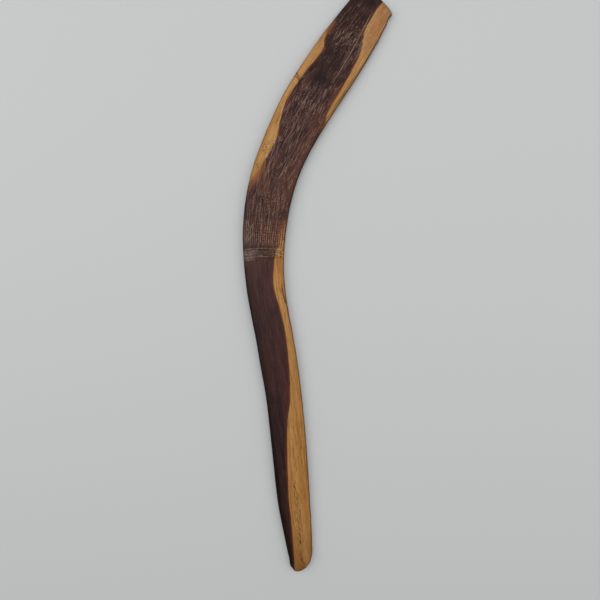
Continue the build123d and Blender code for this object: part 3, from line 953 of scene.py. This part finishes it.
# ------------------------------------------------------------------ pieces
def make_piece(name, slot_name):
    """One wood zone as a closed mesh in metres, with the whole blade's smooth normals."""
    polys = [t for t, z in skin if z == name]
    n_skin = len(polys)
    polys += [tuple(t[::-1]) for t, o, n in walls if o == name] + [tuple(t) for t, o, n in walls if n == name]
    used = np.zeros(len(verts), bool)
    for t in polys:
        used[list(t)] = True
    index = np.cumsum(used) - 1
    mesh = bpy.data.meshes.new(name + "_wood")
    mesh.from_pydata((verts[used] / 1000.0).tolist(), [], [[int(index[v]) for v in t] for t in polys])
    mesh.update()
    mesh.polygons.foreach_set("use_smooth", np.ones(len(polys), bool))
    picked = {"sap": F_SAP, "pale": F_PALE, "dark": F_DARK, "rim": F_RIM, "soft": F_SOFT, "warm_and_lit_edge": F_WARM_AND_LIT_EDGE, "shade": F_SHADE, "grey": F_GREY, "endg": F_END, "edge_shade_weight": F_EDGE_SHADE_WEIGHT, "pores": F_PORE, "face": F_FACE}
    for key, field in picked.items():
        mesh.attributes.new(key, "FLOAT", "POINT").data.foreach_set("value", field[used].astype(np.float32))
    mesh.attributes.new("st", "FLOAT_VECTOR", "POINT").data.foreach_set("vector", F_ST[used].astype(np.float32).ravel())
    loop_vert = np.zeros(len(mesh.loops), np.int32)
    mesh.loops.foreach_get("vertex_index", loop_vert)
    start = np.zeros(len(polys), np.int32)
    total = np.zeros(len(polys), np.int32)
    mesh.polygons.foreach_get("loop_start", start)
    mesh.polygons.foreach_get("loop_total", total)
    flat = np.zeros(len(polys) * 3, np.float32)
    mesh.polygons.foreach_get("normal", flat)
    flat = flat.reshape(-1, 3)
    loop_normal = normals[used][loop_vert]
    owner = np.repeat(np.arange(len(polys)), total)
    wall_loop = owner >= n_skin
    loop_normal[wall_loop] = flat[owner[wall_loop]]
    mesh.normals_split_custom_set(loop_normal.tolist())
    obj = bpy.data.objects.new(name + "_wood", mesh)
    bpy.context.scene.collection.objects.link(obj)
    obj.data.materials.append(woods[slot_name])
    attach(obj, "root")
    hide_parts(name)
    return obj


# ------------------------------------------------------------------ materials
def lin(r, g, b):
    out = []
    for c in (r, g, b):
        c = c / 255.0
        out.append(c / 12.92 if c <= 0.04045 else ((c + 0.055) / 1.055) ** 2.4)
    return (*out, 1.0)


class Tree:
    """Short names for building a shader tree."""

    def __init__(self, mat):
        mat.use_nodes = True
        self.t = mat.node_tree
        self.t.nodes.clear()

    def new(self, kind, **props):
        n = self.t.nodes.new(kind)
        for k, v in props.items():
            setattr(n, k, v)
        return n

    def link(self, a, b):
        self.t.links.new(a, b)

    def put(self, socket, value):
        if isinstance(value, bpy.types.NodeSocket):
            self.link(value, socket)
        else:
            socket.default_value = value

    def attr(self, name):
        n = self.new("ShaderNodeAttribute", attribute_type="GEOMETRY", attribute_name=name)
        return n.outputs["Vector"] if name == "st" else n.outputs["Fac"]

    def math(self, op, a, b=0.0, c=0.0, clamp=False):
        n = self.new("ShaderNodeMath", operation=op, use_clamp=clamp)
        for k, v in enumerate((a, b, c)):
            self.put(n.inputs[k], v)
        return n.outputs[0]

    def step(self, x, lo, hi, a=0.0, b=1.0):
        n = self.new("ShaderNodeMapRange", interpolation_type="SMOOTHSTEP")
        for k, v in enumerate((x, lo, hi, a, b)):
            self.put(n.inputs[k], v)
        return n.outputs[0]

    def ramp(self, x, stops, mode="LINEAR"):
        n = self.new("ShaderNodeValToRGB")
        n.color_ramp.interpolation = mode
        e = n.color_ramp.elements
        e[0].position, e[0].color = stops[0]
        e[1].position, e[1].color = stops[-1]
        for pos, col in stops[1:-1]:
            k = e.new(pos)
            k.color = col
        self.put(n.inputs[0], x)
        return n.outputs[0]

    def mix(self, f, a, b, mode="MIX"):
        n = self.new("ShaderNodeMix", data_type="RGBA", blend_type=mode)
        self.put(n.inputs[0], f)
        self.put(n.inputs[6], a)
        self.put(n.inputs[7], b)
        return n.outputs[2]

    def noise(self, vec, scale, shift=(0, 0, 0), detail=3.0, rough=0.55, bend=0.0):
        m = self.new("ShaderNodeVectorMath", operation="MULTIPLY_ADD")
        self.put(m.inputs[0], vec)
        m.inputs[1].default_value = scale
        m.inputs[2].default_value = shift
        n = self.new("ShaderNodeTexNoise", noise_dimensions="3D")
        self.link(m.outputs[0], n.inputs["Vector"])
        n.inputs["Scale"].default_value = 1.0
        n.inputs["Detail"].default_value = detail
        n.inputs["Roughness"].default_value = rough
        n.inputs["Distortion"].default_value = bend
        return n.outputs["Fac"]


def at(y):
    return max(0.0, min(1.0, s_of(y) / S_ALL))


HEART = [(-335, (50, 20, 12)), (-280, (46, 22, 17)), (-190, (40, 24, 21)), (-100, (50, 31, 30)), (-40, (57, 37, 37)), (12, (74, 46, 45)),
         (20, (76, 46, 43)), (30, (60, 40, 33)), (50, (68, 40, 33)), (110, (66, 37, 33)), (170, (58, 32, 29)), (228, (46, 27, 25)),
         (285, (52, 31, 27)), (312, (42, 25, 21)), (334, (36, 22, 17))]
SAPW = [(-334, (132, 86, 38)), (-285, (168, 117, 58)), (-200, (178, 126, 66)), (-100, (182, 130, 72)), (-20, (190, 137, 78)), (30, (178, 122, 64)),
        (100, (176, 124, 62)), (180, (188, 136, 74)), (250, (190, 138, 82)), (300, (172, 122, 78))]


def wood(name):
    mat = bpy.data.materials.new(name)
    t = Tree(mat)
    st = t.attr("st")
    sap, pale, dark, rimd, soft = (t.attr(k) for k in ("sap", "pale", "dark", "rim", "soft"))
    warm_and_lit_edge, shade, grey, endg, edge_shade_weight, face = (t.attr(k) for k in ("warm_and_lit_edge", "shade", "grey", "endg", "edge_shade_weight", "face"))
    split = t.new("ShaderNodeSeparateXYZ")
    t.link(st, split.inputs[0])
    along = t.math("DIVIDE", split.outputs[0], float(S_ALL))

    # grain: long streaks at three widths, and a slow mottle
    broad = t.noise(st, (1 / 150, 1 / 8.5, 1 / 8.5), (3.1, 0, 0), 3.0, 0.55, 0.35)
    streak = t.noise(st, (1 / 75, 1 / 2.3, 1 / 2.3), (0, 7.7, 0), 4.0, 0.6, 0.25)
    fine = t.noise(st, (1 / 26, 1 / 0.62, 1 / 0.62), (0, 0, 5.2), 3.0, 0.6)
    mottle = t.noise(st, (1 / 24, 1 / 13, 1 / 13), (9.0, 2.0, 0), 2.0, 0.5)
    pores = t.noise(st, (1 / 3.6, 1 / 0.42, 1 / 0.42), (1.3, 0, 8.8), 1.0, 0.5)
    pore = t.step(pores, 0.62, 0.73)
    pits = t.noise(st, (1 / 5.2, 1 / 0.85, 1 / 0.85), (2.2, 4.1, 0.7), 1.0, 0.5)
    pit = t.math("MULTIPLY", t.step(pits, 0.53, 0.62), t.attr("pores"))
    threads = t.noise(st, (1 / 16, 1 / 1.25, 1 / 1.25), (6.6, 2.2, 1.1), 2.0, 0.6, 0.15)
    worked = t.math("MULTIPLY", t.step(split.outputs[0], float(S_BAND + 6), float(S_BAND + 22), 0.16, 0.58), t.math("MULTIPLY_ADD", shade, -0.8, 1.0))
    worked = t.math("MULTIPLY", worked, t.math("MULTIPLY_ADD", face, 0.75, 0.25))

    # heartwood
    heart = t.ramp(along, [(at(y), lin(*c)) for y, c in HEART])
    heart = t.mix(t.step(streak, 0.40, 0.72, 0.0, 0.46), heart, lin(38, 23, 22))
    heart = t.mix(t.step(broad, 0.46, 0.68, 0.0, 0.36), heart, lin(86, 48, 43))
    heart = t.mix(t.math("MULTIPLY", t.step(mottle, 0.52, 0.72, 0.0, 0.50), t.step(along, 0.06, 0.22)), heart, lin(38, 25, 31))
    heart = t.mix(t.step(fine, 0.46, 0.68, 0.0, 0.26), heart, lin(104, 68, 58))
    heart = t.mix(t.math("MULTIPLY", t.step(threads, 0.52, 0.66), worked), heart, lin(106, 73, 63))
    heart = t.mix(t.math("MULTIPLY", t.step(threads, 0.49, 0.38), t.math("MULTIPLY", worked, 1.45, clamp=True)), heart, lin(36, 20, 18))
    heart = t.mix(t.math("MULTIPLY", warm_and_lit_edge, 0.62), heart, lin(108, 64, 46))
    heart = t.mix(t.math("MULTIPLY", shade, 0.85), heart, lin(34, 20, 19))
    heart = t.mix(t.math("MULTIPLY", grey, 0.72), heart, lin(104, 92, 90))
    heart = t.mix(t.math("MULTIPLY", pore, 0.55), heart, lin(24, 15, 14))

    # sapwood
    white = t.ramp(along, [(at(y), lin(*c)) for y, c in SAPW])
    white = t.mix(t.step(streak, 0.46, 0.68, 0.0, 0.62), white, lin(134, 86, 40))
    white = t.mix(t.step(broad, 0.48, 0.70, 0.0, 0.28), white, lin(196, 156, 104))
    white = t.mix(t.step(threads, 0.53, 0.68, 0.0, 0.55), white, lin(122, 80, 40))
    white = t.mix(t.step(mottle, 0.52, 0.74, 0.0, 0.35), white, lin(144, 98, 50))
    white = t.mix(t.step(fine, 0.48, 0.70, 0.0, 0.50), white, lin(122, 80, 42))
    white = t.mix(t.math("MULTIPLY", pore, 0.55), white, lin(92, 58, 30))
    white = t.mix(t.math("MULTIPLY", pit, 0.95), white, lin(40, 25, 14))

    # the limit between them wanders a little with the grain
    wander = t.math("ADD", t.math("MULTIPLY", t.math("SUBTRACT", streak, 0.5), 3.2), t.math("MULTIPLY", t.math("SUBTRACT", fine, 0.5), 1.2))
    near = t.math("ADD", sap, wander)
    wide = t.math("MULTIPLY_ADD", soft, 6.0, 0.45)
    half = t.new("ShaderNodeMapRange", interpolation_type="SMOOTHSTEP")
    t.link(near, half.inputs[0])
    t.link(t.math("MULTIPLY", wide, -0.7), half.inputs[1])
    t.link(wide, half.inputs[2])
    colour = t.mix(half.outputs[0], heart, white)
    strip = t.math("MULTIPLY", t.step(near, -2.6, -0.6), t.step(near, 1.0, -0.1))
    colour = t.mix(t.math("MULTIPLY", strip, 0.62), colour, lin(88, 50, 26))

    tail = t.math("MULTIPLY", soft, t.math("MULTIPLY", t.step(near, -6.5, -0.5), t.step(near, 4.0, 0.5)))
    colour = t.mix(t.math("MULTIPLY", tail, 0.55), colour, lin(132, 78, 42))

    # hair scratches, finer than the mesh, on the incised arm only
    hair = t.noise(st, (1 / 34, 1 / 2.6, 1 / 2.6), (4.4, 9.1, 0), 2.0, 0.6, 0.4)
    hair = t.step(t.math("ABSOLUTE", t.math("SUBTRACT", hair, 0.5)), 0.016, 0.003)
    patchy = t.step(t.noise(st, (1 / 9, 1 / 4, 1 / 4), (0, 3.3, 7.0), 1.0, 0.5), 0.42, 0.54)
    arm = t.math("MULTIPLY", t.step(split.outputs[0], float(S_BAND + 16), float(S_BAND + 26)), face)
    hair = t.math("MULTIPLY", t.math("MULTIPLY", hair, patchy), t.math("MULTIPLY", arm, t.math("SUBTRACT", 0.52, t.math("MULTIPLY", shade, 0.44))))
    colour = t.mix(t.math("MAXIMUM", hair, 0.0), colour, lin(150, 122, 104))

    # rubbed-out lines, cracks, and the rim: painted shade darker towards the edges, the end grain, and painted shade
    # lines at the broad end's arris and along the very rim
    worn = t.math("MULTIPLY", pale, t.step(t.noise(st, (1 / 2.2, 1 / 1.2, 1 / 1.2), (0, 0, 0), 3.0, 0.65), 0.22, 0.55, 0.45, 1.0))
    dust = t.mix(half.outputs[0], lin(176, 146, 126), lin(224, 198, 160))
    colour = t.mix(t.math("MULTIPLY", worn, 0.92, clamp=True), colour, dust)
    colour = t.mix(dark, colour, lin(30, 18, 13))
    # painted shade towards the rim: stronger on the lower arm, wider towards the narrow end, weaker on the inner side
    low = t.step(split.outputs[0], float(S_BAND + 30), float(S_BAND - 60), 0.35, 1.0)
    away = t.step(along, 0.34, 0.08, 3.2, 7.4)
    painted_edge_shade = t.math("MULTIPLY", t.math("SUBTRACT", 1.0, t.math("DIVIDE", rimd, away), clamp=True), t.math("MULTIPLY", low, edge_shade_weight))
    colour = t.mix(t.math("MULTIPLY", painted_edge_shade, t.math("SUBTRACT", 0.95, t.math("MULTIPLY", half.outputs[0], 0.75))), colour, lin(8, 4, 4))
    colour = t.mix(t.math("MULTIPLY", endg, 0.80), colour, t.mix(half.outputs[0], lin(50, 39, 34), lin(136, 120, 98)))
    # painted shade: a dark line along the arris where the broad end's chamfer meets the face
    arris = t.math("MULTIPLY", t.step(endg, 0.05, 0.35), t.step(endg, 0.95, 0.6))
    colour = t.mix(t.math("MULTIPLY", arris, 0.55), colour, t.mix(half.outputs[0], lin(30, 20, 18), lin(92, 62, 36)))
    # painted shade: a near-black line along the very rim, where the rounded edge turns from the light
    painted_rim_shade = t.step(rimd, t.math("MULTIPLY_ADD", endg, -0.5, 1.5), 0.3, 0.0, 0.90)
    colour = t.mix(painted_rim_shade, colour, t.mix(half.outputs[0], lin(18, 12, 12), lin(78, 50, 28)))

    bsdf = t.new("ShaderNodeBsdfPrincipled")
    out = t.new("ShaderNodeOutputMaterial")
    t.link(bsdf.outputs[0], out.inputs[0])
    t.link(colour, bsdf.inputs["Base Color"])
    t.link(t.math("MULTIPLY_ADD", painted_edge_shade, -0.10, 0.11, clamp=True), bsdf.inputs["Specular IOR Level"])
    rough = t.math("ADD", t.math("MULTIPLY_ADD", streak, 0.14, 0.40), t.math("MULTIPLY", t.math("MAXIMUM", pale, dark), 0.25))
    t.link(rough, bsdf.inputs["Roughness"])
    height = t.math("ADD", t.math("MULTIPLY", fine, 0.6), t.math("MULTIPLY", streak, 0.5))
    height = t.math("SUBTRACT", height, t.math("MULTIPLY", pore, 0.5))
    bump = t.new("ShaderNodeBump")
    bump.inputs["Strength"].default_value = 0.55
    bump.inputs["Distance"].default_value = 0.00009
    t.link(height, bump.inputs["Height"])
    t.link(bump.outputs[0], bsdf.inputs["Normal"])
    return mat


woods = {"heartwood": wood("desert_heartwood"), "sapwood": wood("desert_sapwood")}
for zone_, slot_ in (("heartwood_blade", "heartwood"), ("sapwood_outer_upper", "sapwood"), ("sapwood_inner_upper", "sapwood"), ("sapwood_inner_lower", "sapwood")):
    o = make_piece(zone_, slot_)
    print(o.name, "faces", len(o.data.polygons), "vertices", len(o.data.vertices))

# ------------------------------------------------------------------ stage, light and camera
floor_mesh = bpy.data.meshes.new("floor")
r = 8.0
floor_mesh.from_pydata([(-r, -r, -0.0004), (r, -r, -0.0004), (r, r, -0.0004), (-r, r, -0.0004)], [], [(0, 1, 2, 3)])
floor = bpy.data.objects.new("floor", floor_mesh)
bpy.context.scene.collection.objects.link(floor)
pale_floor = bpy.data.materials.new("pale_floor")
pale_floor.use_nodes = True
pb = pale_floor.node_tree.nodes["Principled BSDF"]
pb.inputs["Base Color"].default_value = (0.60, 0.605, 0.60, 1)
pb.inputs["Roughness"].default_value = 0.7
pb.inputs["Specular IOR Level"].default_value = 0.2
floor_mesh.materials.append(pale_floor)

world = bpy.data.worlds.new("studio")
bpy.context.scene.world = world
world.use_nodes = True
world.node_tree.nodes["Background"].inputs[0].default_value = (0.97, 0.99, 1.0, 1)
world.node_tree.nodes["Background"].inputs[1].default_value = 0.42


def area(name, place_, aim, size, watts, colour_=(1, 1, 1)):
    from mathutils import Vector
    data = bpy.data.lights.new(name, "AREA")
    data.shape, data.size = "SQUARE", size
    data.energy, data.color = watts, colour_
    o = bpy.data.objects.new(name, data)
    bpy.context.scene.collection.objects.link(o)
    o.location = place_
    o.rotation_mode = "QUATERNION"
    o.rotation_quaternion = (Vector(aim) - Vector(place_)).to_track_quat("-Z", "Y")
    return o


area("top_soft", (0.0, 0.55, 1.55), (0, 0.1, 0), 1.2, 7.0)
area("left_soft", (-1.35, 0.35, 1.2), (0, 0, 0), 1.1, 9.0)
area("right_soft", (1.35, 0.15, 1.2), (0, 0, 0), 1.1, 7.0)

cam_data = bpy.data.cameras.new("camera")
cam_data.lens, cam_data.sensor_width = 26.0, 36.0
cam = bpy.data.objects.new("camera", cam_data)
bpy.context.scene.collection.objects.link(cam)
cam.location = (-0.02021, -0.02358, 0.0045 + 0.4983)
bpy.context.scene.camera = cam
bpy.context.scene.view_settings.view_transform = "Standard"
bpy.context.scene.view_settings.look = "None"
